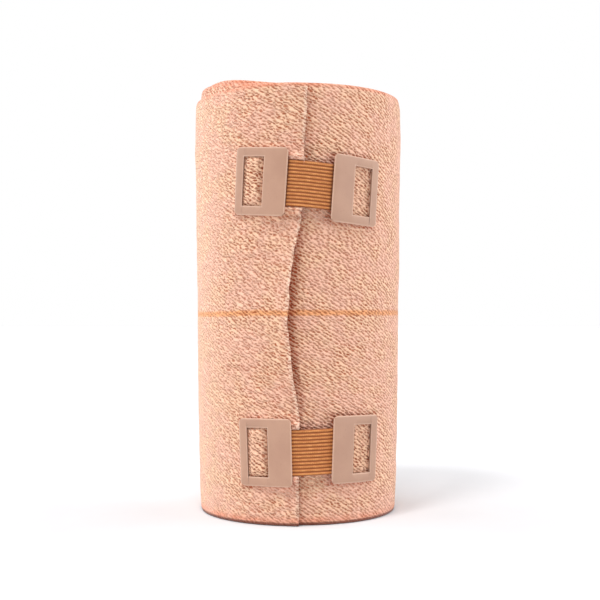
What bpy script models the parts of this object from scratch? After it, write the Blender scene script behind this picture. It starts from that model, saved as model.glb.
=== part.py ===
"""A crepe bandage roll standing on end, its loose end held by two elastic clips.

Frame: the origin is the middle of the flat base, +Z runs up the roll's axis, and the clips
are on the -Y side. An angle round the axis is measured from -Y and grows towards +X.
Sizes here are millimetres and degrees, and meshes are made in metres.
"""

import math
from collections import namedtuple

import bmesh
import bpy
import numpy as np

MM = 0.001

# ---- the bandage: one strip of crepe, wound tight ----
CLOTH_WIDTH = 100.2          # selvedge to selvedge, the height of the roll
LAYER = 1.03                 # one thickness of relaxed crepe
MAIN_TURNS = 10              # ridges on the ends, each standing for two real layers
CORE_RADIUS = 2.4
CORE_FLAT = 1.2              # radius of the flat middle of each end
TURN_STEPS = 44              # columns in one turn
GROOVE_DEPTH = 0.9           # between two turns on an end
GROOVE_SLOPE = 0.25          # how far each side of a groove leans
RIM_SOFTNESS = 0.6           # the outermost turn's shoulder at the top
BASE_SOFTNESS = 0.35         # and at the base
UNDERCUT = (0.0, 4.0, 8.0)   # columns over the gap behind the loose end, degrees
SLIP_OUTER = 0.8             # the outer turn sits this much low on the left
SLIP_INNER = 2.5             # the inner turns stand this much high on the left
SLIP_ANGLE = -58.0           # where both are greatest
SLIP_FRONT = 60.0            # how far they fade towards the front
SLIP_BACK = 110.0            # and towards the back
TURN_UNEVEN = 0.25           # small differences in height from turn to turn
UNEVEN_WAVES = 2.3           # how many of them there are in one turn

Outline = namedtuple("Outline", "height radius")
OUTLINE = (
    Outline(height=0.0, radius=24.2),
    Outline(height=0.8, radius=24.4),
    Outline(height=4.0, radius=24.6),
    Outline(height=13.0, radius=24.8),
    Outline(height=26.0, radius=25.2),
    Outline(height=50.0, radius=25.3),
    Outline(height=63.0, radius=25.5),
    Outline(height=75.0, radius=25.7),
    Outline(height=87.0, radius=25.9),
    Outline(height=95.0, radius=25.8),
    Outline(height=98.5, radius=25.7),
    Outline(height=100.2, radius=25.4),
)

# offset: how far right of the front line the cut edge lies; lift: how far it stands off
Edge = namedtuple("Edge", "height offset lift")
LOOSE_EDGE = (
    Edge(height=0.0, offset=-0.1, lift=0.25),
    Edge(height=25.0, offset=0.0, lift=0.2),
    Edge(height=30.0, offset=-0.7, lift=0.7),
    Edge(height=36.0, offset=-1.7, lift=1.2),
    Edge(height=45.5, offset=-2.5, lift=1.5),
    Edge(height=54.0, offset=-2.1, lift=1.3),
    Edge(height=63.0, offset=-0.9, lift=0.8),
    Edge(height=69.0, offset=0.5, lift=0.25),
    Edge(height=84.0, offset=1.0, lift=0.2),
    Edge(height=100.2, offset=2.0, lift=0.3),
)
ROW_HEIGHTS = (4.0, 8.5, 13.0, 19.0, 25.0, 28.0, 31.0, 36.0, 41.0, 45.5, 50.0, 54.0,
               58.5, 63.0, 66.0, 69.0, 75.0, 81.0, 87.0, 92.0, 96.0)

# ---- the clips: two stamped plates joined by ribbed elastic ----
PLATE_WIDTH = 12.8           # round the roll
PLATE_HEIGHT = 15.4          # along its axis
PLATE_THICKNESS = 0.45
PLATE_CORNER = 1.1
CORNER_STEPS = 4
WINDOW_CORNER = 0.3
WINDOW_WIDTH = 5.05
WINDOW_HEIGHT = 11.1
OUTER_MARGIN = 2.1           # from the window to the plate's outer end
PLATE_BENDS = 6
FREE_GAP = 0.3               # between pieces that touch
OUTER_LIFT = 0.42            # plate above the cloth at its outer end
INNER_LIFT = 1.6             # and at its inner end, over the elastic
PLATE_BEND = 80.0            # radius the plates are bent to, flatter than the roll
FLAP_THICKNESS = 0.4
FLAP_LENGTH = 3.0
FLAP_HEIGHT = 10.4
FOLD_CHAMFER = 0.35          # outside the flap's fold
PRONG_COUNT = 4
PRONG_PITCH = 2.6
PRONG_BASE = 1.7
PRONG_TIP = 0.4
PRONG_LENGTH = 1.9
PRONG_SHOULDER = 0.1         # below the plate, where a prong starts to narrow
PRONG_THICKNESS = 0.4
PRONG_INSET = 0.06           # from the window's wall into the margin
ROOT = 0.25                  # how far flap and prongs reach up into the plate
ELASTIC_THICKNESS = 0.6
ELASTIC_HEIGHT = 10.5
ELASTIC_RIBS = 13
RIB_RISE = 0.16
RIB_CREST = 0.44             # share of a rib that is its flat crest
ELASTIC_STEPS = 12
CUTTER_HEIGHT = 3.0          # how far the pocket cutters stand out of the cloth

# places in a plate's own drawing, its outer end at +x
WINDOW_OUT = PLATE_WIDTH / 2 - OUTER_MARGIN
WINDOW_IN = WINDOW_OUT - WINDOW_WIDTH
CLAMP_ROOM = ELASTIC_THICKNESS + 2.0 * FREE_GAP
PRONG_PLACES = [(i - (PRONG_COUNT - 1) / 2) * PRONG_PITCH for i in range(PRONG_COUNT)]

# spacing: between the middles of the clip's plates; the turns are each plate's own
Clip = namedtuple("Clip", "name angle height tilt spacing left_turn right_turn")
CLIPS = (
    Clip(name="upper", angle=5.2, height=76.9, tilt=4.4, spacing=23.1, left_turn=-0.6,
         right_turn=-0.6),
    Clip(name="lower", angle=6.6, height=16.9, tilt=-1.0, spacing=21.9, left_turn=-0.2,
         right_turn=2.5),
)

# ---- finishes: base colour, roughness, metallic ----
Finish = namedtuple("Finish", "name colour roughness metallic")
CREPE = Finish("crepe", (0.80, 0.48, 0.34), 0.95, 0.0)
LACQUER = Finish("lacquered_steel", (0.57, 0.34, 0.25), 0.42, 0.2)
RUBBER_WEB = Finish("ribbed_elastic", (0.45, 0.16, 0.05), 0.7, 0.0)


def clear_scene():
    for thing in list(bpy.data.objects):
        bpy.data.objects.remove(thing, do_unlink=True)


def material(finish):
    made = bpy.data.materials.get(finish.name) or bpy.data.materials.new(finish.name)
    made.use_nodes = True
    shader = made.node_tree.nodes["Principled BSDF"]
    shader.inputs["Base Color"].default_value = (*finish.colour, 1.0)
    shader.inputs["Roughness"].default_value = finish.roughness
    shader.inputs["Metallic"].default_value = finish.metallic
    return made


def object_from(bm, name, finish=None, crease=35.0):
    """Close the bmesh into a named object with outward faces and smooth round surfaces."""
    bmesh.ops.recalc_face_normals(bm, faces=bm.faces)
    if bm.calc_volume(signed=True) < 0.0:
        bmesh.ops.reverse_faces(bm, faces=bm.faces)
    mesh = bpy.data.meshes.new(name)
    bm.to_mesh(mesh)
    bm.free()
    mesh.shade_smooth()
    mesh.set_sharp_from_angle(angle=math.radians(crease))
    if finish:
        mesh.materials.append(material(finish))
    made = bpy.data.objects.new(name, mesh)
    bpy.context.scene.collection.objects.link(made)
    return made


def column(table, height, value):
    """Read one named column of a table at a height, straight between its rows."""
    return float(np.interp(height, [row.height for row in table],
                           [getattr(row, value) for row in table]))


# ---- the wound shape ----

def edge_angle(height):
    """Angle of the cut end at a height."""
    offset = column(LOOSE_EDGE, height, "offset")
    return math.degrees(offset / column(OUTLINE, height, "radius"))


def layer_radius(travel, height):
    """Outside of the cloth after so many turns from the cut end: it drops a layer a turn."""
    return column(OUTLINE, height, "radius") - LAYER * travel


def travel_at(angle, height, under=False):
    """Turns from the cut end to an angle, on the top layer or on the one below it."""
    return (edge_angle(height) - angle) / 360.0 + (1.0 if under else 0.0)


def slip(angle):
    """0 to 1: how far the turns have slid past one another at the top, at this angle."""
    away = (angle - SLIP_ANGLE + 180.0) % 360.0 - 180.0
    reach = SLIP_FRONT if away > 0.0 else SLIP_BACK
    share = max(0.0, 1.0 - abs(away) / reach)
    return 0.5 - 0.5 * math.cos(math.pi * share)


def turn_top(travel, angle):
    """Height of the upper selvedge of the turn that starts at this travel."""
    if travel < 1.0:
        return CLOTH_WIDTH - SLIP_OUTER * slip(angle)
    uneven = TURN_UNEVEN * math.sin(UNEVEN_WAVES * math.tau * travel) * min(1.0, travel - 1.0)
    return CLOTH_WIDTH + SLIP_INNER * slip(angle) + uneven


def on_roll(radius, angle, height):
    """A point from cylinder coordinates, in metres."""
    turn = math.radians(angle)
    return (radius * math.sin(turn) * MM, -radius * math.cos(turn) * MM, height * MM)


def turn_columns():
    """Travel of every column from the cut end to the core, the same columns in each turn."""
    spread = np.linspace(UNDERCUT[-1], 360.0, TURN_STEPS - len(UNDERCUT) + 2)[:-1]
    first = list(UNDERCUT[:-1]) + list(spread)
    columns = [turn + degrees / 360.0 for turn in range(MAIN_TURNS) for degrees in first]
    return columns + [MAIN_TURNS]


def make_side(bm, travels):
    """The outer turn from its cut end on round and back in under itself, row by row.

    Returns each row's vertices on the outside and on the loose end's underside.
    """
    tip = len(UNDERCUT) - 1
    outside, underside = [], []
    heights = (0.0,) + ROW_HEIGHTS + (CLOTH_WIDTH,)
    last = len(heights) - 1
    for row, height in enumerate(heights):
        outer, under = [], []
        for travel in travels[:TURN_STEPS + tip + 1]:
            angle = edge_angle(height) - 360.0 * travel
            level = height
            if row == 0:
                level = 2.0 * BASE_SOFTNESS
            elif row == last:
                level = turn_top(travel if travel < 1.0 else 0.0, angle) - RIM_SOFTNESS
            behind_edge = max(0.0, 1.0 - travel * 360.0 / UNDERCUT[-1])
            lift = column(LOOSE_EDGE, level, "lift") * behind_edge
            radius = layer_radius(travel, level) + lift
            outer.append(bm.verts.new(on_roll(radius, angle, level)))
            if len(under) < tip:
                under.append(bm.verts.new(on_roll(radius - LAYER, angle, level)))
        under.append(outer[TURN_STEPS + tip])
        outside.append(outer)
        underside.append(under)
    for row in range(last):
        low, high = outside[row], outside[row + 1]
        for k in range(TURN_STEPS + tip):
            bm.faces.new((low[k], low[k + 1], high[k + 1], high[k]))
        low_in, high_in = underside[row], underside[row + 1]
        for k in range(tip):
            bm.faces.new((low_in[k + 1], low_in[k], high_in[k], high_in[k + 1]))
        bm.faces.new((low_in[0], low[0], high[0], high_in[0]))
    return outside, underside


def make_end(bm, travels, outer, under, top):
    """One end: a ridge for each main turn, wound from the rim in to a flat middle."""
    tip = len(UNDERCUT) - 1
    rim_height = CLOTH_WIDTH if top else 0.0
    start = edge_angle(rim_height)
    rim_radius = column(OUTLINE, rim_height, "radius") - LAYER
    pitch = (rim_radius - CORE_RADIUS) / MAIN_TURNS
    inward = RIM_SOFTNESS if top else BASE_SOFTNESS
    last = len(travels) - 1
    groove, ridge_out, ridge_in, middle = {}, {}, {}, {}

    def level(travel, angle):
        return turn_top(travel, angle) if top else 0.0

    for k, travel in enumerate(travels):
        angle = start - 360.0 * travel
        here = level(travel, angle)
        inner_edge = rim_radius - pitch * travel
        if k <= TURN_STEPS + tip:
            outer_edge = layer_radius(travel, rim_height)
            slope = inward
        else:
            outer_edge = inner_edge + pitch
            slope = GROOVE_SLOPE
        ridge_out[k] = bm.verts.new(on_roll(outer_edge - slope, angle, here))
        ridge_in[k] = bm.verts.new(on_roll(inner_edge + GROOVE_SLOPE, angle, here))
        if k < tip:
            groove[k] = under[k]
        elif k == tip:
            groove[k] = outer[TURN_STEPS + tip]
        else:
            fade = min(1.0, (last - k) / TURN_STEPS)
            lower = min(here, level(travel + 1.0, angle))
            depth = GROOVE_DEPTH * fade
            bottom = lower - depth if top else depth
            groove[k] = bm.verts.new(on_roll(inner_edge, angle, bottom))
        if last - TURN_STEPS <= k < last:
            middle[k] = bm.verts.new(on_roll(CORE_FLAT, angle, level(last, angle)))
    middle[last] = middle[last - TURN_STEPS]

    def rim(k):
        return outer[k] if k <= TURN_STEPS + tip else groove[k - TURN_STEPS]

    for k in range(last):
        bm.faces.new((rim(k), rim(k + 1), ridge_out[k + 1], ridge_out[k]))
        bm.faces.new((ridge_out[k], ridge_out[k + 1], ridge_in[k + 1], ridge_in[k]))
        bm.faces.new((ridge_in[k], ridge_in[k + 1], groove[k + 1], groove[k]))
        if k >= last - TURN_STEPS:
            bm.faces.new((groove[k], groove[k + 1], middle[k + 1], middle[k]))
    bm.faces.new((outer[0], ridge_out[0], ridge_in[0], under[0]))
    bm.faces.new((rim(last), ridge_out[last], ridge_in[last], groove[last], middle[last]))
    bm.faces.new([middle[k] for k in range(last - TURN_STEPS, last)])


def make_roll():
    bm = bmesh.new()
    travels = turn_columns()
    outside, underside = make_side(bm, travels)
    make_end(bm, travels, outside[0], underside[0], top=False)
    make_end(bm, travels, outside[-1], underside[-1], top=True)
    return object_from(bm, "bandage_roll", CREPE)


# ---- the clips, drawn flat and wrapped round the roll ----
# A clip's flat drawing has x along the clip, y up and z outwards, with 0 at its middle.

def bend_radius(clip, blend):
    """Radius at which a clip's flat drawing keeps its length, from the top layer to the next."""
    return column(OUTLINE, clip.height, "radius") + (OUTER_LIFT + INNER_LIFT) / 2 - LAYER * blend


def wrap(clip, x, y, lift, side, extra_turn=0.0, pivot=0.0):
    """Lay a point of a clip's flat drawing on the roll, lifted off the layer it lies on.

    side is -1 over the loose end and +1 over the layer it laps. A piece may be turned a
    little about its own middle, the pivot.
    """
    turn = math.radians(-extra_turn)
    x, y = (pivot + (x - pivot) * math.cos(turn) - y * math.sin(turn),
            (x - pivot) * math.sin(turn) + y * math.cos(turn))
    tilt = math.radians(-clip.tilt)
    along = x * math.cos(tilt) - y * math.sin(tilt)
    height = clip.height + x * math.sin(tilt) + y * math.cos(tilt)
    blend = 0.5 + 0.5 * side
    angle = clip.angle + math.degrees(along / bend_radius(clip, blend))
    over = layer_radius(travel_at(angle, height), height)
    below = layer_radius(travel_at(angle, height, under=True), height)
    return on_roll(over * (1.0 - blend) + below * blend + lift, angle, height)


def plate_lift(from_outer_end):
    """Underside of a plate above the cloth, rising from its outer end to the elastic.

    A plate is flatter than the roll, so between its ends it comes nearer to the cloth.
    """
    straight = OUTER_LIFT + (INNER_LIFT - OUTER_LIFT) * from_outer_end / PLATE_WIDTH
    middle_radius = column(OUTLINE, CLOTH_WIDTH / 2, "radius") + INNER_LIFT
    flatter = (1.0 / middle_radius - 1.0 / PLATE_BEND) / 2.0
    return straight - flatter * from_outer_end * (PLATE_WIDTH - from_outer_end)


def rounded_rectangle(bm, left, right, low, high, corner, steps):
    """A closed loop of edges, its corners worked out as arcs."""
    points = []
    for cx, cy, begin in ((right, high, 0), (left, high, 90), (left, low, 180), (right, low, 270)):
        cx += -corner if cx == right else corner
        cy += -corner if cy == high else corner
        for step in range(steps + 1):
            turn = math.radians(begin + 90.0 * step / steps)
            points.append((cx + corner * math.cos(turn), cy + corner * math.sin(turn)))
    verts = [bm.verts.new((x, y, 0.0)) for x, y in points]
    return [bm.edges.new((verts[i - 1], verts[i])) for i in range(len(verts))]


def extrude(bm, faces, along):
    """Draw faces out into a solid."""
    moved = bmesh.ops.extrude_face_region(bm, geom=faces)["geom"]
    verts = [part for part in moved if isinstance(part, bmesh.types.BMVert)]
    bmesh.ops.translate(bm, verts=verts, vec=along)


def join_by_boolean(base, tool):
    """Fuse a tool into a base and take the tool out of the scene."""
    fuse = base.modifiers.new("fuse", "BOOLEAN")
    fuse.operation = "UNION"
    fuse.solver = "EXACT"
    fuse.object = tool
    bpy.context.view_layer.update()
    seen = base.evaluated_get(bpy.context.evaluated_depsgraph_get())
    fused = bpy.data.meshes.new_from_object(seen)
    base.modifiers.clear()
    base.data = fused
    bpy.data.objects.remove(tool, do_unlink=True)


def flat_plate():
    """The stamping before it is bent to the roll, in millimetres, outer end at +x.

    The window's metal is used twice: its inner side is folded back under the plate to
    clamp the elastic, and its outer side is cut into prongs that are bent down.
    """
    bm = bmesh.new()
    half_w, half_h = PLATE_WIDTH / 2, PLATE_HEIGHT / 2
    loops = rounded_rectangle(bm, -half_w, half_w, -half_h, half_h, PLATE_CORNER, CORNER_STEPS)
    loops += rounded_rectangle(bm, WINDOW_IN, WINDOW_OUT, -WINDOW_HEIGHT / 2,
                               WINDOW_HEIGHT / 2, WINDOW_CORNER, 1)
    sheet = bmesh.ops.triangle_fill(bm, edges=loops, use_beauty=True)["geom"]
    faces = [part for part in sheet if isinstance(part, bmesh.types.BMFace)]
    extrude(bm, faces, (0.0, 0.0, PLATE_THICKNESS))
    plate = object_from(bm, "flat_plate")

    bm = bmesh.new()
    wall = WINDOW_IN - PRONG_INSET
    inside = wall - FLAP_THICKNESS
    ceiling = -CLAMP_ROOM
    floor = ceiling - FLAP_THICKNESS
    end = wall - FLAP_LENGTH
    flap = ((wall, ROOT), (inside, ROOT), (inside, ceiling), (end, ceiling), (end, floor),
            (wall - FOLD_CHAMFER, floor), (wall, floor + FOLD_CHAMFER))
    face = bm.faces.new([bm.verts.new((x, -FLAP_HEIGHT / 2, z)) for x, z in flap])
    extrude(bm, [face], (0.0, FLAP_HEIGHT, 0.0))
    near = WINDOW_OUT + PRONG_INSET
    half_base, half_tip = PRONG_BASE / 2, PRONG_TIP / 2
    prong = ((-half_base, ROOT), (half_base, ROOT), (half_base, -PRONG_SHOULDER),
             (half_tip, -PRONG_LENGTH), (-half_tip, -PRONG_LENGTH), (-half_base, -PRONG_SHOULDER))
    for place in PRONG_PLACES:
        face = bm.faces.new([bm.verts.new((near, place + y, z)) for y, z in prong])
        extrude(bm, [face], (PRONG_THICKNESS, 0.0, 0.0))
    join_by_boolean(plate, object_from(bm, "flap_and_prongs"))
    return plate


def make_plate(clip, side, flat):
    """Bend a copy of the flat plate onto the roll, its outer end away from the cut edge."""
    bm = bmesh.new()
    bm.from_mesh(flat.data)
    for bend in range(1, PLATE_BENDS):
        bmesh.ops.bisect_plane(bm, geom=bm.verts[:] + bm.edges[:] + bm.faces[:],
                               plane_co=(PLATE_WIDTH * (bend / PLATE_BENDS - 0.5), 0.0, 0.0),
                               plane_no=(1.0, 0.0, 0.0), dist=0.01)
    pivot = side * clip.spacing / 2
    turn = clip.left_turn if side < 0 else clip.right_turn
    for vert in bm.verts:
        lift = plate_lift(PLATE_WIDTH / 2 - vert.co.x) + vert.co.z
        vert.co = wrap(clip, pivot + side * vert.co.x, side * vert.co.y, lift, side, turn, pivot)
    word = "left" if side < 0 else "right"
    return object_from(bm, f"clip_{clip.name}_plate_{word}", LACQUER)


def make_elastic(clip):
    """A ribbed band between the plates, its ends clamped over their flaps."""
    wall = clip.spacing / 2 + WINDOW_IN - PRONG_INSET - FLAP_THICKNESS - 2.0 * FREE_GAP
    inner_end = clip.spacing / 2 - PLATE_WIDTH / 2
    rib = ELASTIC_HEIGHT / ELASTIC_RIBS
    outline = [(-ELASTIC_HEIGHT / 2, 0.0), (ELASTIC_HEIGHT / 2, 0.0)]
    for i in reversed(range(ELASTIC_RIBS)):
        low = -ELASTIC_HEIGHT / 2 + rib * i
        if i < ELASTIC_RIBS - 1:
            outline.append((low + rib, ELASTIC_THICKNESS - RIB_RISE))
        outline.append((low + rib * (0.5 + RIB_CREST / 2), ELASTIC_THICKNESS))
        outline.append((low + rib * (0.5 - RIB_CREST / 2), ELASTIC_THICKNESS))
    bm = bmesh.new()
    sections = []
    for step in range(ELASTIC_STEPS + 1):
        x = wall * (2.0 * step / ELASTIC_STEPS - 1.0)
        out_of_plate = clip.spacing / 2 + PLATE_WIDTH / 2 - max(abs(x), inner_end)
        lift = plate_lift(out_of_plate) - FREE_GAP - ELASTIC_THICKNESS
        edge_at = math.radians(edge_angle(clip.height) - clip.angle)
        edge_x = edge_at * bend_radius(clip, 0.0) + FREE_GAP
        across = min(1.0, max(0.0, (x - edge_x) / (inner_end - edge_x)))
        side = 2.0 * across - 1.0
        sections.append([bm.verts.new(wrap(clip, x, y, lift + z, side)) for y, z in outline])
    for near, far in zip(sections, sections[1:]):
        for i in range(len(outline)):
            bm.faces.new((near[i - 1], near[i], far[i], far[i - 1]))
    bm.faces.new(sections[0])
    bm.faces.new(sections[-1])
    return object_from(bm, f"clip_{clip.name}_elastic", RUBBER_WEB)


def block(bm, clip, side, x_range, y_range, below_plate):
    """A six-sided cutter in a plate's own drawing, from below the plate to clear of the cloth."""
    turn = clip.left_turn if side < 0 else clip.right_turn
    pivot = side * clip.spacing / 2
    corners = []
    for above in (False, True):
        for x in x_range:
            lift = CUTTER_HEIGHT if above else plate_lift(PLATE_WIDTH / 2 - x) - below_plate
            for y in y_range:
                place = wrap(clip, pivot + side * x, side * y, lift, side, turn, pivot)
                corners.append(bm.verts.new(place))
    bottom, top = (0, 1, 3, 2), (4, 6, 7, 5)
    walls = ((0, 4, 5, 1), (2, 3, 7, 6), (0, 2, 6, 4), (1, 5, 7, 3))
    for face in (bottom, top) + walls:
        bm.faces.new([corners[i] for i in face])


def press_cloth(roll):
    """Hollow the cloth where the flaps press into it and where the prongs go in."""
    bm = bmesh.new()
    wall = WINDOW_IN - PRONG_INSET
    flap_end = wall - FLAP_LENGTH
    near = WINDOW_OUT + PRONG_INSET
    half_clamp = ELASTIC_HEIGHT / 2 + 2.0 * FREE_GAP
    half_prong = PRONG_BASE / 2 + FREE_GAP
    for clip in CLIPS:
        for side in (-1, 1):
            block(bm, clip, side, (flap_end - FREE_GAP, wall + FREE_GAP),
                  (-half_clamp, half_clamp), CLAMP_ROOM + FLAP_THICKNESS + FREE_GAP)
            for place in PRONG_PLACES:
                block(bm, clip, side, (near - FREE_GAP, near + PRONG_THICKNESS + FREE_GAP),
                      (place - half_prong, place + half_prong), PRONG_LENGTH + FREE_GAP)
    cutter = object_from(bm, "clip_pockets")
    cutter.hide_render = True
    cutter.display_type = "WIRE"
    cut = roll.modifiers.new("clip_pockets", "BOOLEAN")
    cut.operation = "DIFFERENCE"
    cut.solver = "EXACT"
    cut.object = cutter


def main():
    clear_scene()
    roll = make_roll()
    flat = flat_plate()
    for clip in CLIPS:
        for side in (-1, 1):
            make_plate(clip, side, flat)
        make_elastic(clip)
    bpy.data.objects.remove(flat, do_unlink=True)
    press_cloth(roll)


main()
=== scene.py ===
# %% [markdown]
# # A crepe bandage roll
# One strip of cotton crepe, ten centimetres wide, is wound up and stood on end. Two clips hold
# its loose end: each is a pair of stamped, lacquered plates joined by ribbed elastic.
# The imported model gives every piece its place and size. This script winds the strip again with
# all its turns, stamps the plates with soft edges, and gives each surface its finish.

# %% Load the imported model
import math
from collections import namedtuple

import bmesh
import bpy
import numpy as np
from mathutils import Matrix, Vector, noise


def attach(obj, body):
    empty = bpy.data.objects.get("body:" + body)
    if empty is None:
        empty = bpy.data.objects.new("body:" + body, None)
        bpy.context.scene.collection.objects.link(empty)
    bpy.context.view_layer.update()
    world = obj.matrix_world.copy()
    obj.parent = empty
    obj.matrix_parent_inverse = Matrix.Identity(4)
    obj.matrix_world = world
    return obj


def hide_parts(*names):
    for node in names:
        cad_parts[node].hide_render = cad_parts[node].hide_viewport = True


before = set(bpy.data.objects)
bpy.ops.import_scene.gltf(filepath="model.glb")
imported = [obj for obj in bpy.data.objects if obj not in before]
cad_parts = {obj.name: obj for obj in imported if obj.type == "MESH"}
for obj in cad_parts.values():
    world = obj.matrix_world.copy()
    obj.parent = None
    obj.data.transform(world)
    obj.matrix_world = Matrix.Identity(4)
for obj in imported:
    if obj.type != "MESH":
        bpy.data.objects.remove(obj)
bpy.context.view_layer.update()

MM = 0.001
print("nodes:", ", ".join(sorted(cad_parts)))

# %% [markdown]
# ## Camera
# The photograph was taken level with the guide thread, about 26 cm from the roll's axis. The
# top edge then curves down at its ends and the bottom edge curves up, as they do there. A long
# lens far away would draw both edges nearly straight. The small shifts put the roll where the
# photograph has it, and leave the upright lines upright.

# %% Camera
PHOTO_SIDE = 600.0      # pixels
SENSOR = 36.0           # mm
EYE_HEIGHT = 48.4       # mm above the table
EYE_DISTANCE = 261.5    # mm from the roll's axis
FOCAL_PIXELS = 1052.0   # focal length, in the photograph's pixels
AXIS_PIXEL = 299.0      # the roll's axis, counted from the photograph's left side
HORIZON_PIXEL = 312.0   # the eye's level, counted from the photograph's top

bpy.ops.object.camera_add(location=(0.0, -EYE_DISTANCE * MM, EYE_HEIGHT * MM),
                          rotation=(math.radians(90.0), 0.0, 0.0))
camera = bpy.context.object
camera.name = "photo_camera"
camera.data.sensor_width = SENSOR
camera.data.lens = FOCAL_PIXELS * SENSOR / PHOTO_SIDE
camera.data.shift_x = (PHOTO_SIDE / 2 - AXIS_PIXEL) / PHOTO_SIDE
camera.data.shift_y = (HORIZON_PIXEL - PHOTO_SIDE / 2) / PHOTO_SIDE
camera.data.clip_start = 0.01
camera.data.clip_end = 20.0
bpy.context.scene.camera = camera
print("lens, mm:", round(camera.data.lens, 1))

# %% [markdown]
# ## Shader sums
# A material is a net of nodes, and a net with many sums is hard to read. One small class wraps
# a socket, so that a sum is written as a sum: `1 - mask` adds the Math node by itself. Its
# method `make` adds any other node: the type first, then its settings, then the values and
# links of its sockets.

# %% A class for shader sums
class Wire:
    """One output socket in a material. Sums on wires add Math nodes."""

    def __init__(self, tree, socket=None):
        self.tree = tree
        self.socket = socket

    def make(self, kind, settings=None, values=None, out=0):
        node = self.tree.nodes.new("ShaderNode" + kind)
        for name, value in (settings or {}).items():
            setattr(node, name, value)
        for name, value in (values or {}).items():
            if isinstance(value, Wire):
                self.tree.links.new(value.socket, node.inputs[name])
            else:
                node.inputs[name].default_value = value
        return Wire(self.tree, node.outputs[out])

    def sum(self, operation, *values, clamp=False):
        return self.make("Math", {"operation": operation, "use_clamp": clamp},
                         dict(enumerate(values)))

    def __add__(self, other):
        return self.sum("ADD", self, other)

    def __sub__(self, other):
        return self.sum("SUBTRACT", self, other)

    def __rsub__(self, other):
        return self.sum("SUBTRACT", other, self)

    def __mul__(self, other):
        return self.sum("MULTIPLY", self, other)

    def __truediv__(self, other):
        return self.sum("DIVIDE", self, other)

    __radd__ = __add__
    __rmul__ = __mul__

    def __abs__(self):
        return self.sum("ABSOLUTE", self)

    def least(self, other):
        return self.sum("MINIMUM", self, other)

    def most(self, other):
        return self.sum("MAXIMUM", self, other)

    def step(self, low, high):
        """0 below low, 1 above high, smooth between them."""
        return self.make("MapRange", {"interpolation_type": "SMOOTHSTEP"},
                         {"Value": self, "From Min": low, "From Max": high})

    def other(self, out):
        """Another output of the node that this wire comes from."""
        return Wire(self.tree, self.socket.node.outputs[out])

    def part(self, index):
        """One of the three numbers in a vector or a colour."""
        return self.make("SeparateXYZ", None, {"Vector": self}, out=index)

    def join(self, x, y, z=0.0):
        return self.make("CombineXYZ", None, {"X": x, "Y": y, "Z": z})

    def mix(self, first, second):
        """Two colours mixed by this wire."""
        return self.make("Mix", {"data_type": "RGBA"}, {0: self, 6: first, 7: second}, out=2)

    def cloud(self, scale, detail, dimensions="2D", out=0):
        """Smooth noise read at this place."""
        return self.make("TexNoise", {"noise_dimensions": dimensions},
                         {"Vector": self, "Scale": scale, "Detail": detail}, out=out)

    def bumped(self):
        """A normal bumped by this height, in mm."""
        return self.make("Bump", None, {"Strength": 1.0, "Distance": MM, "Height": self})


def linear(red, green, blue):
    """A colour as a painter reads it off a screen, 0 to 255, in the shader's linear units."""
    parts = []
    for part in (red, green, blue):
        part /= 255.0
        parts.append(part / 12.92 if part <= 0.04045 else ((part + 0.055) / 1.055) ** 2.4)
    return (*parts, 1.0)


def new_finish(name, **constants):
    """A material with its shader's constant sockets set, and a wire to start sums from."""
    made = bpy.data.materials.new(name)
    made.use_nodes = True
    shader = made.node_tree.nodes["Principled BSDF"]
    for socket, value in constants.items():
        shader.inputs[socket.replace("_", " ")].default_value = value
    return made, shader, Wire(made.node_tree)


def plug(shader, **links):
    """Feed wires to a shader's sockets."""
    for socket, wire in links.items():
        wire.tree.links.new(wire.socket, shader.inputs[socket.replace("_", " ")])


print("shader sums ready")

# %% [markdown]
# ## Studio
# The roll stands on pale paper in white light from four suns of different softness. The top
# light, high on the left, is the hardest: it draws the pebbles of the weave and the shadow
# beside the cut edge. The front light fills the front from above. Two very soft lights at the
# sides make both silhouettes lighter than the front, as in the photograph. Area lamps could do
# the same, but a sun needs only a direction, a softness and a strength.
# The paper is a little grey, because a soft shadow is lost on paper that the lights burn out.
# The camera sees a white sky, but only a fifth of it lights the roll, so the shadows stay.

# %% Lights and floor
bpy.context.scene.view_settings.view_transform = "Standard"

# aim: degrees round from the front towards +X, and above the table; spread: softness
Lamp = namedtuple("Lamp", "name azimuth elevation spread strength")
LAMPS = (
    Lamp("top_light", -38.0, 58.0, 14.0, 1.34),
    Lamp("front_light", 0.0, 62.0, 20.0, 0.95),
    Lamp("left_light", -100.0, 21.0, 90.0, 2.8),
    Lamp("right_light", 100.0, 20.0, 90.0, 3.05),
)
SKY = 0.2               # the share of the white sky that lights the roll
FLOOR_SIDE = 6.0        # metres


def direction(azimuth, elevation):
    a, e = math.radians(azimuth), math.radians(elevation)
    return Vector((math.sin(a) * math.cos(e), -math.cos(a) * math.cos(e), math.sin(e)))


for lamp in LAMPS:
    bpy.ops.object.light_add(type="SUN", location=direction(lamp.azimuth, lamp.elevation))
    light = bpy.context.object
    light.name = lamp.name
    light.data.angle = math.radians(lamp.spread)
    light.data.energy = lamp.strength
    aim = direction(lamp.azimuth, lamp.elevation)
    light.rotation_euler = aim.to_track_quat("Z", "Y").to_euler()

world = bpy.data.worlds.new("white_studio")
world.use_nodes = True
sky = Wire(world.node_tree)
seen_by_camera = sky.make("LightPath")
brightness = seen_by_camera * (1.0 - SKY) + SKY
backdrop = world.node_tree.nodes["Background"]
backdrop.inputs["Color"].default_value = (1.0, 1.0, 1.0, 1.0)
world.node_tree.links.new(brightness.socket, backdrop.inputs["Strength"])
bpy.context.scene.world = world

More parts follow.
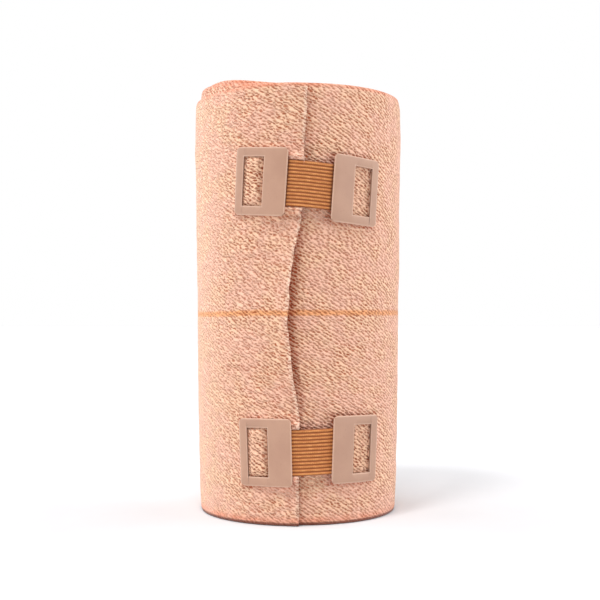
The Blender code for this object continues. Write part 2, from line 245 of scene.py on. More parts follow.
bpy.ops.object.select_all(action="DESELECT")
bpy.ops.mesh.primitive_plane_add(size=FLOOR_SIDE, location=(0.0, 0.0, 0.0))
floor = bpy.context.object
floor.name = "paper_floor"
paper, paper_shader, start = new_finish("white_paper", Roughness=0.9)
fibres = start.make("TexCoord", out=3).cloud(90.0, 3.0, "3D")
plug(paper_shader, Base_Color=fibres.mix(linear(217, 218, 221), linear(221, 222, 225)))
floor.data.materials.append(paper)
print("lamps:", len(LAMPS))

# %% [markdown]
# ## The wound shape
# The strip is wound so that each turn drops by one layer of cloth. `travel` counts turns from
# the cut edge, and `height` is the distance from the table. Blender's Screw modifier can wind a
# profile too, but every turn would then be the same. Here the shape is a few sums, because the
# roll is a little fatter near its top, its turns have slid past one another on the left, and
# its cut edge wanders to the left at mid height, where it stands off the roll.

# %% Shape of the roll
CLOTH_WIDTH = 100.2     # mm, as are all lengths here
LAYER = 1.03            # from one turn to the next
TURNS = 23
CORE_RADIUS = 1.5
THICKNESS = 0.8
MID_HEIGHT = 50.0
SLIP_OUTER = 0.8        # where the slide is largest, the outer turn drops this much
SLIP_INNER = 2.5        # and the inner turns rise this much
SLIP_ANGLE = -58.0      # its middle, in degrees from the front towards +X, as all angles
SLIP_FRONT = 60.0       # how far it reaches towards the front
SLIP_BACK = 110.0       # and towards the back

# the roll's radius at some heights, then how far the cut edge stands to the right of the front,
# and how far it lifts off the roll
OUTLINE_HEIGHTS = (0.0, 0.8, 4.0, 13.0, 26.0, 50.0, 63.0, 75.0, 87.0, 95.0, 98.5, 100.2)
OUTLINE_RADII = (24.2, 24.4, 24.6, 24.8, 25.2, 25.3, 25.5, 25.7, 25.9, 25.8, 25.7, 25.4)
EDGE_HEIGHTS = (0.0, 25.0, 30.0, 36.0, 45.5, 54.0, 63.0, 69.0, 84.0, 100.2)
EDGE_OFFSETS = (-0.1, 0.0, -0.7, -1.7, -2.5, -2.1, -0.9, 0.5, 1.0, 2.0)
EDGE_LIFTS = (0.3, 0.3, 1.0, 1.7, 2.1, 1.9, 1.2, 0.4, 0.3, 0.4)


def outline(height):
    return np.interp(height, OUTLINE_HEIGHTS, OUTLINE_RADII)


def edge_angle(height):
    """Angle of the cut edge, in degrees from the front towards +X."""
    return np.degrees(np.interp(height, EDGE_HEIGHTS, EDGE_OFFSETS) / outline(height))


def turn_radius(travel, height):
    """Outer face of the strip after so many turns."""
    radius = outline(height)
    return radius - travel * (radius - CORE_RADIUS) / TURNS


def slip(angle):
    """0 to 1: how far the turns have slid past one another at the top."""
    away = (angle - SLIP_ANGLE + 180.0) % 360.0 - 180.0
    reach = np.where(away > 0.0, SLIP_FRONT, SLIP_BACK)
    share = np.maximum(0.0, 1.0 - np.abs(away) / reach)
    return 0.5 - 0.5 * np.cos(np.pi * share)


def on_roll(radius, angle, height):
    """Points from cylinder coordinates, in metres. One height may serve many angles."""
    turn = np.radians(angle)
    return np.stack([radius * np.sin(turn), -radius * np.cos(turn),
                     height + 0.0 * turn], axis=-1) * MM


mid_turns = [turn_radius(k + 0.5, MID_HEIGHT) - THICKNESS / 2 for k in range(TURNS)]
length = sum(2.0 * math.pi * radius for radius in mid_turns)
print("length of the wound strip, m:", round(float(length) * MM, 2))

# %% [markdown]
# ## The clips' places
# A clip is drawn flat, x along it and y up, and is then laid round the roll. Both the plates
# and the cloth that swells round them need the same drawing, so its sums come first.

# %% Places on a clip
PLATE_WIDTH = 12.8
PLATE_HEIGHT = 15.4
PLATE_THICKNESS = 0.45
PLATE_CORNER = 1.1
WINDOW_WIDTH = 5.05
WINDOW_HEIGHT = 11.1
OUTER_MARGIN = 2.1      # metal between the window and the outer end
WINDOW_OUT = PLATE_WIDTH / 2 - OUTER_MARGIN
WINDOW_IN = WINDOW_OUT - WINDOW_WIDTH
OUTER_LIFT = 0.42       # the plate's underside above the plain roll, at its outer end
INNER_LIFT = 1.6        # and at the elastic
PLATE_BEND = 80.0       # the plate's own radius: it is flatter than the roll
ELASTIC_THICKNESS = 0.6
ELASTIC_HEIGHT = 10.5
FLAP_LENGTH = 3.0
FLAP_HEIGHT = 10.4
SET_BACK = 0.06         # the fold and the prongs stand this far behind the window's edges

# the clip's middle, its slant and its plates' own turns; spacing: from plate to plate
Clip = namedtuple("Clip", "name angle height tilt spacing left_turn right_turn")
CLIPS = (
    Clip("upper", 5.2, 76.9, 4.4, 23.1, -0.6, -0.6),
    Clip("lower", 6.6, 16.9, -1.0, 21.9, -0.2, 2.5),
)


def bend_radius(clip, blend):
    return float(outline(clip.height)) + (OUTER_LIFT + INNER_LIFT) / 2 - LAYER * blend


def turned(x, y, degrees):
    turn = math.radians(degrees)
    return x * math.cos(turn) - y * math.sin(turn), x * math.sin(turn) + y * math.cos(turn)


def wrap(clip, x, y, lift, side, extra_turn=0.0, pivot=0.0):
    """Lay points of a clip's drawing on the roll; side is -1 left of the cut edge, +1 right."""
    x, y = turned(x - pivot, y, -extra_turn)
    along, up = turned(x + pivot, y, -clip.tilt)
    height = clip.height + up
    blend = 0.5 + 0.5 * side
    angle = clip.angle + np.degrees(along / bend_radius(clip, blend))
    travel = (edge_angle(height) - angle) / 360.0
    over = outline(height) - LAYER * travel
    return on_roll(over - LAYER * blend + lift, angle, height)


def in_drawing(clip, side, angle, height):
    """Where a point of the roll lies in one plate's own drawing, its outer end at +x."""
    blend = 0.5 + 0.5 * side
    along = np.radians(angle - clip.angle) * bend_radius(clip, blend)
    x, y = turned(along, height - clip.height, clip.tilt)
    pivot = side * clip.spacing / 2
    turn = clip.left_turn if side < 0 else clip.right_turn
    x, y = turned(x - pivot, y, turn)
    return side * x, side * y


def plate_lift(from_outer_end):
    """Underside of a plate above the plain roll, rising from its outer end to the elastic."""
    straight = OUTER_LIFT + (INNER_LIFT - OUTER_LIFT) * from_outer_end / PLATE_WIDTH
    middle_radius = float(outline(CLOTH_WIDTH / 2)) + INNER_LIFT
    flatter = (1.0 / middle_radius - 1.0 / PLATE_BEND) / 2.0
    return straight - flatter * from_outer_end * (PLATE_WIDTH - from_outer_end)


print("clips:", ", ".join(clip.name for clip in CLIPS))

# %% [markdown]
# ## How the clips press the cloth
# Crepe is soft: it rises in the plates' windows and between the plates, it is squeezed under
# the flaps, and it makes uneven tufts beside the elastic. The bumps could be pushed up by hand
# in edit mode. A sum is used, because they have to follow four turned and bent plates, and
# both faces of the cloth. `swell` adds smooth boxes in each clip's own drawing.

# %% Soft boxes
def soft_box(x, low, high, soft):
    """1 between low and high, falling to 0 over a soft border outside them."""
    def rise(t):
        t = np.clip(t, 0.0, 1.0)
        return t * t * (3.0 - 2.0 * t)
    return rise((x - low) / soft + 1.0) * rise((high - x) / soft + 1.0)


def patch(x, y, left, right, half_height, soft):
    """The same in two directions, on a plate's drawing."""
    return soft_box(x, left, right, soft) * soft_box(y, -half_height, half_height, soft)


def plate_patch(x, y, soft):
    return patch(x, y, -PLATE_WIDTH / 2, PLATE_WIDTH / 2, PLATE_HEIGHT / 2, soft)


print("a soft box from 0 to 1, half way down its border:", round(float(soft_box(1.5, 0, 1, 1)), 2))

# %% Cloth round the clips
PLATE_BORDER = 1.3      # the slope of the cloth round a plate
UNDER_GAP = 0.12        # air between the cloth and a plate's underside
UNDER_MOST = 0.55       # the cloth rises no more than this under a plate
BULGE = 0.55            # the cloth in a window, above the plate's underside
BULGE_INNER = 1.3       # the bulge's top keeps this far from the window's inner side,
BULGE_OUTER = 1.2       # this far from the outer side
BULGE_ENDS = 0.9        # and this far from the ends
BULGE_SLOPES = (0.9, 0.8)
CLAMP_DEPTH = 0.95      # the cloth under a flap, below the plate's underside
CLAMP_BORDER = 0.5
MIDDLE_RISE = 0.5       # the cloth between the plates, under the elastic
MIDDLE_MARGIN = 1.8
MIDDLE_HALF = 3.5
MIDDLE_SLOPE = 4.0
TUFT_NEAR, TUFT_FAR = 0.45, 1.0     # a tuft's top, measured from the elastic's edge
TUFT_SLOPE = 0.6
TUFT_MARGIN = 0.3
TUFT_RISE = 0.9
TUFT_UNEVEN = 0.6


def swell(angle, height):
    """How far the cloth's outer face stands off the plain roll, in mm."""
    out = np.zeros(np.broadcast(angle, height).shape)
    for clip in CLIPS:
        for side in (-1, 1):
            x, y = in_drawing(clip, side, angle, height)
            lift = plate_lift(np.clip(PLATE_WIDTH / 2 - x, 0.0, PLATE_WIDTH))
            top = WINDOW_HEIGHT / 2 - BULGE_ENDS
            left, right = WINDOW_IN + BULGE_INNER, WINDOW_OUT - BULGE_OUTER
            window = (soft_box(x, left, right, BULGE_SLOPES[0])
                      * soft_box(y, -top, top, BULGE_SLOPES[1]))
            clamp = patch(x, y, WINDOW_IN - FLAP_LENGTH, WINDOW_IN, FLAP_HEIGHT / 2, CLAMP_BORDER)
            under = np.minimum(lift - UNDER_GAP, UNDER_MOST)
            rise = under + window * (lift + BULGE - under)
            rise = rise + clamp * (lift - CLAMP_DEPTH - rise)
            out = out + plate_patch(x, y, PLATE_BORDER) * rise
        x, y = turned(np.radians(angle - clip.angle) * bend_radius(clip, 0.5),
                      height - clip.height, clip.tilt)
        gap = (clip.spacing - PLATE_WIDTH) / 2
        middle = (soft_box(x, -gap + MIDDLE_MARGIN, gap - MIDDLE_MARGIN, MIDDLE_MARGIN)
                  * soft_box(y, -MIDDLE_HALF, MIDDLE_HALF, MIDDLE_SLOPE))
        out = out + middle * MIDDLE_RISE
        beside = np.abs(y) - ELASTIC_HEIGHT / 2
        tuft = (soft_box(x, -gap + TUFT_MARGIN, gap - TUFT_MARGIN, TUFT_SLOPE)
                * soft_box(beside, TUFT_NEAR, TUFT_FAR, TUFT_SLOPE))
        lumps = 0.5 + 0.5 * np.sin(4.5 * x + 2.0 * np.sin(1.9 * y) + clip.tilt)
        out = out + tuft * (TUFT_RISE + TUFT_UNEVEN * lumps)
    return out


print("swell in the upper left window, mm:", round(float(swell(np.array(-21.0), 76.0)), 2))

# %% [markdown]
# ## The strip of crepe
# The whole strip is one closed sheet with real thickness, wound in a spiral. A curve with a
# profile could wind it, but it would give every part of the strip the same net. A net of code
# is used, so that the part that shows from the side has small faces for the crepe's puckers
# and its frayed cut edge, and the turns inside have few, because only their selvedges show.

# %% Columns, rows and small unevenness
FINE_COLUMNS = 320      # columns in the outer turn
FINE_ROWS = 200         # rows on its outer face
FINE_TURNS = 1.05
INNER_ROWS = 24         # rows on its inner face
OUTER_COLUMNS = 64      # columns in the second turn
CORE_COLUMNS = 24       # and in the last one
COARSE_HEIGHTS = np.array((0.0, 3.0, MID_HEIGHT, 97.0, CLOTH_WIDTH))
CAP_TURNS = np.radians((45.0, 90.0, 135.0))
PUCKERS = ((17.0, 0.14), (6.0, 0.08), (2.4, 0.07))      # size and rise


def line_noise(place, lane, level=0.0):
    """Smooth noise along a line. The lane and the level only choose which line is read."""
    return noise.noise(Vector((place, lane, level)))


def puckers(u, height):
    """Small uneven relief of the crepe, in mm."""
    relief = np.zeros(u.shape)
    for octave, (size, rise) in enumerate(PUCKERS):
        values = [line_noise(a / size, b / size, 7.3 * octave)
                  for a, b in zip(u.ravel(), height.ravel())]
        relief += rise * np.array(values).reshape(u.shape)
    return relief


def column_travels():
    """Where the columns stand, in turns from the cut edge, and how many of them are fine."""
    fine = np.arange(int(FINE_COLUMNS * FINE_TURNS) + 1) / FINE_COLUMNS
    travels = [float(t) for t in fine]
    while travels[-1] < TURNS:
        share = travels[-1] / TURNS
        travels.append(travels[-1] + 1.0 / (OUTER_COLUMNS + (CORE_COLUMNS - OUTER_COLUMNS) * share))
    travels[-1] = float(TURNS)
    return travels, len(fine)


def travelled(travel):
    """Length of strip from the cut edge, in mm."""
    start = outline(MID_HEIGHT) - THICKNESS / 2
    return 2.0 * math.pi * (start * travel - (start - CORE_RADIUS) * travel ** 2 / (2 * TURNS))


print("columns:", len(column_travels()[0]), "of which fine:", column_travels()[1])

# %% [markdown]
# ## One section of the strip
# A section is a closed loop: up the outer face, over the rounded upper selvedge, down the inner
# face and round the lower selvedge. Near the cut edge the cloth is free, so there it lifts,
# sags a little at its corners and frays. Every point also gets its place on the cloth, u along
# the strip and v across it, for the weave to follow.

# %% Shape of a section
FREE_REACH = 0.05       # the lifted part of the loose end, in turns
CORNER_SAG = 0.3
FRAY_REACH = 0.012      # the frayed part, in turns
FRAY_ANGLE = 0.9
FRAY_SCALE = 1.15       # noise waves in a millimetre
FOOT = 0.12             # the lower selvedge stands at this height, more or less
SLOW_UNEVEN, QUICK_UNEVEN = 0.35, 0.2
PUCKER_MARGIN = 2.0     # the selvedges have no puckers
INNER_SHARE = 0.9       # the inner face follows this much of the swell


def selvedge_heights(travel):
    """Heights of the lower and the upper selvedge after so many turns."""
    slid = float(slip(float(edge_angle(CLOTH_WIDTH)) - 360.0 * travel))
    if travel < 1.0:
        rise = -SLIP_OUTER * slid
    else:
        uneven = SLOW_UNEVEN * line_noise(travel * 1.9, 3.1)
        uneven += QUICK_UNEVEN * line_noise(travel * 7.3, 8.1)
        rise = (SLIP_INNER * slid + uneven) * min(1.0, (travel - 1.0) * 4.0)
    free = max(0.0, 1.0 - travel / FREE_REACH)
    bottom = FOOT + FOOT * line_noise(travel * 3.7, 5.5, 1.0)
    return bottom, CLOTH_WIDTH + rise - CORNER_SAG * free


def section(travel, fine):
    """One cross-section of the strip: its places, and its (u, v) on the cloth."""
    rows = FINE_ROWS if fine else len(COARSE_HEIGHTS) - 1
    share = np.linspace(0.0, 1.0, rows + 1) if fine else COARSE_HEIGHTS / CLOTH_WIDTH
    back = np.linspace(0.0, 1.0, INNER_ROWS + 1) if fine else share
    bottom, top = selvedge_heights(travel)
    half = THICKNESS / 2

    def levels(shares):
        return bottom + half + shares * (top - bottom - THICKNESS)

    def angles(height):
        free = max(0.0, 1.0 - travel / FRAY_REACH)
        fray = [line_noise(h * FRAY_SCALE, 2.7, 4.4) for h in np.ravel(height)]
        fray = FRAY_ANGLE * np.array(fray).reshape(np.shape(height))
        return edge_angle(height) - 360.0 * travel + fray * free

    def mid(height):
        radius = turn_radius(travel, height) - half
        if fine:
            free = max(0.0, 1.0 - travel / FREE_REACH)
            radius = radius + np.interp(height, EDGE_HEIGHTS, EDGE_LIFTS) * free ** 2
        return radius

    out_z, in_z = levels(share), levels(back)
    u = travelled(travel)
    out_r = mid(out_z) + half
    in_r = mid(in_z) - half
    if fine:
        calm = soft_box(out_z, PUCKER_MARGIN, CLOTH_WIDTH - PUCKER_MARGIN, PUCKER_MARGIN)
        stand = swell(angles(out_z), out_z)
        out_r = out_r + stand + puckers(np.full(out_z.shape, u), out_z) * calm
        in_r = in_r + np.maximum(0.0, swell(angles(in_z), in_z)) * INNER_SHARE
    cap_top = top - half + half * np.sin(CAP_TURNS)
    cap_low = bottom + half - half * np.sin(CAP_TURNS)
    top_r = float(mid(top - half)) + half * np.cos(CAP_TURNS)
    low_r = float(mid(bottom + half)) - half * np.cos(CAP_TURNS)
    radii = np.concatenate([out_r, top_r, in_r[::-1], low_r])
    heights = np.concatenate([out_z, cap_top, in_z[::-1], cap_low])
    places = on_roll(radii, angles(heights), heights)
    v = (heights - bottom) * CLOTH_WIDTH / (top - bottom)
    return places, np.stack([np.full(v.shape, u), v], axis=-1)


print("selvedges at the cut edge, mm:", [round(h, 2) for h in selvedge_heights(0.0)])

# %% [markdown]
# ## Marks for the finish
# In the photograph the cloth is darker and warmer in the fold beside the cut edge, under and
# beside the plates, and in the windows. The lamps alone draw this too weakly, so two marks on
# the points say where it is, and the finish adds the warm shade there. An image could be
# painted instead, but marks on points need no picture and follow the same drawings.

# %% Marks in the windows and in the fold
WINDOW_MARK_SOFT = 0.5
PLATE_MARK_SOFT = 0.9
PLATE_MARK = 0.6
FOLD_FROM, FOLD_TO = -1.0, 0.5      # mm to the right of the cut edge, on the cloth below it
FOLD_SOFT = 1.8
FOLD_LEAST = 0.15
FULL_FOLD_LIFT = 1.5    # where the edge lifts this much, the fold is fully marked


def marked(places, uvs):
    """How far each point lies in a clip's window, and in the fold beside the cut edge."""
    x, y, z = places.T / MM
    angle = np.degrees(np.arctan2(x, -y))
    in_window = np.zeros(len(places))
    by_plate = np.zeros(len(places))
    for clip in CLIPS:
        for side in (-1, 1):
            drawn = in_drawing(clip, side, angle, z)
            in_window = np.maximum(in_window, patch(*drawn, WINDOW_IN, WINDOW_OUT,
                                                    WINDOW_HEIGHT / 2, WINDOW_MARK_SOFT))
            by_plate = np.maximum(by_plate, plate_patch(*drawn, PLATE_MARK_SOFT))
    one_turn = travelled(1.0)
    lift = np.interp(z, EDGE_HEIGHTS, EDGE_LIFTS)
    in_fold = (soft_box(one_turn - uvs[:, 0], FOLD_FROM, FOLD_TO, FOLD_SOFT)
               * np.clip(lift / FULL_FOLD_LIFT, FOLD_LEAST, 1.0))
    in_fold = np.maximum(in_fold, PLATE_MARK * by_plate * (1.0 - in_window))
    return {"in_window": in_window * (uvs[:, 0] < one_turn), "in_fold": in_fold}


print("marks ready for", 2 * len(CLIPS), "plates")

# %% [markdown]
# ## Join the sections
# Neighbouring sections are joined by a band of faces. Where a fine section meets a coarse one,
# the two runs of points are stitched with triangles, so the sheet stays closed.

# %% Wind the strip
def stitch(first, second, heights):
    """Triangles between two runs of points with different numbers of rows."""
    faces = []
    i = j = 0
    while i < len(first) - 1 or j < len(second) - 1:
        second_done = j == len(second) - 1
        if second_done or (i < len(first) - 1
                           and heights[first[i + 1]] < heights[second[j + 1]]):
            faces.append((first[i], first[i + 1], second[j]))
            i += 1
        else:
            faces.append((first[i], second[j + 1], second[j]))
            j += 1
    return faces


def closed_sheet(name, places, faces, uvs, map_name):
    """A smooth object from a closed net, its faces outwards, its (u, v) as a UV map."""
    mesh = bpy.data.meshes.new(name)
    mesh.from_pydata(places, [], faces)
    bm = bmesh.new()
    bm.from_mesh(mesh)
    bmesh.ops.recalc_face_normals(bm, faces=bm.faces)
    if bm.calc_volume(signed=True) < 0.0:
        bmesh.ops.reverse_faces(bm, faces=bm.faces)
    bm.to_mesh(mesh)
    bm.free()
    layer = mesh.uv_layers.new(name=map_name)
    corners = np.zeros(len(mesh.loops), dtype=np.int32)
    mesh.loops.foreach_get("vertex_index", corners)
    layer.data.foreach_set("uv", uvs[corners].ravel())
    mesh.shade_smooth()
    made = bpy.data.objects.new(name, mesh)
    bpy.context.scene.collection.objects.link(made)
    return made


def parts_of(loop, rows, back_rows):
    """A section as its outer run, its inner run and the two caps between them."""
    caps = len(CAP_TURNS)
    out = list(loop[:rows + 1])
    top = list(loop[rows + 1:rows + 1 + caps])
    inner = list(loop[rows + 1 + caps:rows + 2 + caps + back_rows])[::-1]
    low = list(loop[rows + 2 + caps + back_rows:])
    return out, inner, top, low


def wind_strip():
    travels, fine_count = column_travels()
    places, uvs, loops = [], [], []
    for k, travel in enumerate(travels):
        points, uv = section(travel, k < fine_count)
        loops.append(range(len(places), len(places) + len(points)))
        places.extend(points.tolist())
        uvs.append(uv)

    heights = [place[2] for place in places]
    faces = []
    for near, far in zip(loops, loops[1:]):
        if len(near) == len(far):
            count = len(near)
            faces += [(near[i], near[(i + 1) % count], far[(i + 1) % count], far[i])
                      for i in range(count)]

    coarse_rows = len(COARSE_HEIGHTS) - 1
    near = parts_of(loops[fine_count - 1], FINE_ROWS, INNER_ROWS)
    far = parts_of(loops[fine_count], coarse_rows, coarse_rows)
    faces += stitch(near[0], far[0], heights)
    faces += stitch(near[1], far[1], heights)
    for cap, lead, tail, end in ((2, 0, 1, -1), (3, 1, 0, 0)):
        a = [near[lead][end]] + near[cap] + [near[tail][end]]
        b = [far[lead][end]] + far[cap] + [far[tail][end]]
        faces += [(a[i], a[i + 1], b[i + 1], b[i]) for i in range(len(a) - 1)]
    for loop, rows, back_rows in ((loops[0], FINE_ROWS, INNER_ROWS),
                                  (loops[-1], coarse_rows, coarse_rows)):
        out, inner, top, low = parts_of(loop, rows, back_rows)
        faces += stitch(out, inner, heights)
        faces.append([out[-1]] + top + [inner[-1]])
        faces.append([inner[0]] + low + [out[0]])

    uvs = np.concatenate(uvs)
    made = closed_sheet("crepe_strip", places, faces, uvs, "cloth")
    for name, marks in marked(np.array(places), uvs).items():
        made.data.attributes.new(name, "FLOAT", "POINT").data.foreach_set("value", marks)
    made.data.set_sharp_from_angle(angle=math.radians(60.0))
    return made


strip = wind_strip()
triangles = sum(len(face.vertices) - 2 for face in strip.data.polygons)
print("strip:", len(strip.data.vertices), "points,", triangles, "triangles")
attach(strip, "root")
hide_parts("bandage_roll")

# %% [markdown]
# ## Crepe
# Crepe is a plain weave of hard-twisted yarn. The twist shrinks it into small pebbles in
# slanting rows, with brown shade in the gaps between them. The yarns could be modelled, but the
# strip would need millions of faces. A pattern on the cloth's own millimetres is used instead:
# gaps lie at the centres of a staggered, slanting lattice that is a little disordered, and each
# gap has a raised crest beside it. Left of the cut edge the cloth lies loose and wanders more.

# %% The lattice of gaps
ALONG_PITCH = 1.32      # mm between the gaps of one row, along the strip
ROW_PITCH = 0.87        # mm between gaps across it; a staggered row lies half way between
DISORDER = 0.52         # 0 is an even lattice, 1 a random one
WANDER = 0.6            # how far the rows drift
LOOSE_WANDER = 0.5      # how much further in loose cloth
LOOSE_CLOTH = (30.0, 60.0)      # mm from the cut edge, where the loose cloth ends
GAP_ACROSS = 1.7        # the larger, the narrower a gap is
GAP_ALONG = 0.5         # the smaller, the longer it is along its slant
GAP_REACH = 0.28        # how far from its centre a gap ends, in squared lattice steps
GAP_UNEVEN = 0.6        # how much that differs from gap to gap
CREST_REACH = 0.6

crepe, crepe_shader, start = new_finish("crepe", Roughness=0.92, Sheen_Weight=0.2,
                                        Sheen_Roughness=0.5)
cloth = start.make("UVMap", {"uv_map": "cloth"})
u, v = cloth.part(0), cloth.part(1)
drift = cloth.cloud(0.75, 1.0, out=1)
drift_a, drift_b = drift.part(0) - 0.5, drift.part(1) - 0.5
loose = 1.0 - u.step(*LOOSE_CLOTH)
wander = loose * LOOSE_WANDER + WANDER
falling = v / ROW_PITCH - u / ALONG_PITCH + drift_a * wander
rising = v / ROW_PITCH + u / ALONG_PITCH + drift_b * wander
cells = start.make("TexVoronoi", {"voronoi_dimensions": "2D", "feature": "F1"},
                   {"Vector": start.join(falling, rising), "Scale": 1.0, "Randomness": DISORDER})
own = cells.other("Color")
across = falling - cells.other("Position").part(0)
lengthwise = rising - cells.other("Position").part(1)
away = across * across * GAP_ACROSS + lengthwise * lengthwise * GAP_ALONG
reach = own.part(0) * GAP_UNEVEN * GAP_REACH + (1.0 - GAP_UNEVEN * 0.5) * GAP_REACH
hole = 1.0 - away.step(0.0, reach)
crest = 1.0 - away.step(0.0, CREST_REACH)
print("gaps in a square centimetre, about:", round(200.0 / (ALONG_PITCH * ROW_PITCH)))

# %% [markdown]
# ## Places on the cloth
# A guide thread is woven in along the middle, and the selvedges are tighter and redder: partly
# their own tone, partly painted shade where the turns meet. The cut edge is frayed, and a strip
# along it gets a painted highlight. The painted shade in the gaps is full at the front and fades
# round the sides, where the lights wash it out in the photograph. These places are masks from 0
# to 1.

# %% Masks on the cloth
# in mm; a pair says where a step starts and ends, up the cloth unless the line says otherwise
GUIDE_HEIGHT = 48.2
GUIDE_WIDTH = 0.7
LOWER_SELVEDGE = (1.0, 2.6)
UPPER_SELVEDGE = (CLOTH_WIDTH - 1.2, CLOTH_WIDTH - 0.5)
CUT_EDGE_HIGHLIGHT_REACH = (0.3, 0.9)             # mm from the cut edge
FRONT_LEFT = (9.0, 32.0)        # mm from the cut edge, where the weave fades on the left
FRONT_RIGHT = (98.0, 124.0)     # and where it comes back on the right, before a full turn
CONTACT = (0.45, 0.95)

selvedge = 1.0 - v.step(*LOWER_SELVEDGE) + v.step(*UPPER_SELVEDGE)
from_guide = abs(v + drift_a * 0.5 - GUIDE_HEIGHT)
guide = 1.0 - from_guide.step(GUIDE_WIDTH * 0.4, GUIDE_WIDTH * 1.4)
# a painted highlight on the strip along the cut edge
cut_edge_highlight = 1.0 - u.step(*CUT_EDGE_HIGHLIGHT_REACH)
front = 1.0 - u.step(*FRONT_LEFT) * (1.0 - u.step(*FRONT_RIGHT))
contact = 1.0 - v.step(*CONTACT)
patches = cloth.cloud(0.16, 3.0)
yarn = cloth.cloud(5.0, 2.0)
in_window = start.make("Attribute", {"attribute_name": "in_window"}, out=2)
in_fold = start.make("Attribute", {"attribute_name": "in_fold"}, out=2)
print("guide thread, mm up the cloth:", GUIDE_HEIGHT)

# %% [markdown]
# ## The crepe's colours
# The thread is a pale skin colour, and the gaps get a painted shade of burnt orange-brown. In
# the windows, in the fold beside the cut edge, under and beside the plates, and on the lowest
# half millimetre the cloth also gets a warm shade. That shade is painted on purpose: it adds to
# the lamps' own, and it stays under other lights.

# %% The crepe's finish
GAP_DARKNESS = 0.66
GAP_VARIES = 0.6
YARN_GRAIN = 0.4
YARN_RISE = 0.08
CREST_RISE = 0.17
CREST_SHIFT = 1.2
PALE_THREAD = linear(254, 201, 174)
WARM_THREAD = linear(254, 207, 172)
CUT_EDGE_HIGHLIGHT = linear(255, 224, 200)
WINDOW_THREAD = linear(255, 208, 170)
GUIDE_THREAD = linear(250, 170, 104)
SELVEDGE_TONE_AND_SHADE = linear(236, 150, 120)
GAP_SHADE = linear(174, 76, 24)
GUIDE_GAP_SHADE = linear(170, 76, 22)
WINDOW_GAP_SHADE = linear(140, 58, 20)
FOLD_SHADE = linear(160, 62, 24)
CONTACT_SHADE = linear(110, 46, 24)

uneven = patches.step(0.3, 0.7)
thread = patches.step(0.35, 0.65).mix(PALE_THREAD, WARM_THREAD)
# painted highlight: the strip along the cut edge is lighter, where the light catches its thickness
thread = (cut_edge_highlight * 0.5).mix(thread, CUT_EDGE_HIGHLIGHT)
thread = (in_window * 0.5).mix(thread, WINDOW_THREAD)
thread = (guide * 0.8).mix(thread, GUIDE_THREAD)
# the selvedges' redder colour is partly their own tone and partly painted shade where the turns
# meet
thread = (selvedge * (uneven * 0.5 + 0.35)).mix(thread, SELVEDGE_TONE_AND_SHADE)
# the gaps' colour is painted shade, deeper in the windows
gap = (in_window * 0.5).mix(guide.mix(GAP_SHADE, GUIDE_GAP_SHADE), WINDOW_GAP_SHADE)

tight = 1.0 - selvedge * 0.25
# how strong the painted shade in the gaps is: full at the front, weaker round the sides, stronger
# in the windows and the fold
strength = (uneven * 0.3 + 0.85) * (front * 0.58 + 0.42) + in_window * 0.15 + in_fold * 0.3
shade = hole * (own.part(1) * GAP_VARIES + (1.0 - GAP_VARIES / 2)) * tight * strength
shade = shade.sum("MULTIPLY", shade, GAP_DARKNESS, clamp=True)
colour = (shade + (yarn - 0.5) * YARN_GRAIN).mix(thread, gap)
colour = (in_fold * (hole * 0.4 + 0.44)).mix(colour, FOLD_SHADE)
colour = (contact * 0.85).mix(colour, CONTACT_SHADE)

beside_gap = (across + lengthwise) * CREST_SHIFT - 1.0
crests = crest * beside_gap * (own.part(2) * GAP_VARIES + (1.0 - GAP_VARIES / 2)) * CREST_RISE
relief = (yarn * YARN_RISE + crests) * tight
plug(crepe_shader, Base_Color=colour, Normal=relief.bumped())
strip.data.materials.append(crepe)
print("crepe's nodes:", len(crepe.node_tree.nodes))

# %% [markdown]
# ## The plates
# A real plate is stamped from thin steel. Its window's metal isn't wasted: the inner side is
# folded under and clamps the elastic, and the outer side is cut into four prongs that go into
# the cloth. One stamping is drawn flat in millimetres and modelled by hand, and a copy is then
# bent round the roll for each place. A few helpers come first, because edit mode acts on what
# is selected.

# %% Helpers for modelling by hand
def begin(name):
    """Name the primitive that was just added and go into edit mode with all of it selected."""
    bpy.context.object.name = name
    bpy.ops.object.mode_set(mode="EDIT")
    bpy.ops.mesh.select_all(action="SELECT")
    return bpy.context.object


def select(kind, test):
    """In edit mode, select only the points, edges or faces whose middle passes a test."""
    bpy.ops.mesh.select_mode(type={"verts": "VERT", "edges": "EDGE", "faces": "FACE"}[kind])
    bpy.ops.mesh.select_all(action="DESELECT")
    bm = bmesh.from_edit_mesh(bpy.context.object.data)
    for part in getattr(bm, kind):
        if kind == "verts":
            middle = part.co
        elif kind == "edges":
            middle = (part.verts[0].co + part.verts[1].co) / 2
        else:
            middle = part.calc_center_median()
        if test(middle):
            part.select_set(True)
    bmesh.update_edit_mesh(bpy.context.object.data)


def cut(axis, place):
    """A straight cut across everything, square to an axis."""
    bpy.ops.mesh.select_all(action="SELECT")
    at, square = [0.0] * 3, [0.0] * 3
    at[axis], square[axis] = place, 1.0
    bpy.ops.mesh.bisect(plane_co=at, plane_no=square, threshold=0.001)


def near(value, place):
    return abs(value - place) < 0.01


def fuse(base, *tools):
    """Fuse pieces into one by Boolean modifiers."""
    for tool in tools:
        bpy.ops.object.select_all(action="DESELECT")
        base.select_set(True)
        bpy.context.view_layer.objects.active = base
        union = base.modifiers.new("fuse", "BOOLEAN")
        union.operation = "UNION"
        union.solver = "MANIFOLD"
        union.object = tool
        bpy.ops.object.modifier_apply(modifier="fuse")
        bpy.data.objects.remove(tool, do_unlink=True)


print("helpers ready")

# %% [markdown]
# ## Stamping
# The sheet starts as a plane with rounded corners. Straight cuts mark the window, its faces are
# deleted, and more cuts let the plate bend later. It gets its thickness by an extrusion, and a
# small bevel rounds its edges so that they catch the light. A Boolean could punch the window,
# but cuts leave cleaner faces.

# %% Stamp the plate
CORNER_STEPS = 6
WINDOW_CORNER = 0.35
WINDOW_STEPS = 3
BEND_CUTS = 12
EDGE_ROUND = 0.18
EDGE_STEPS = 3

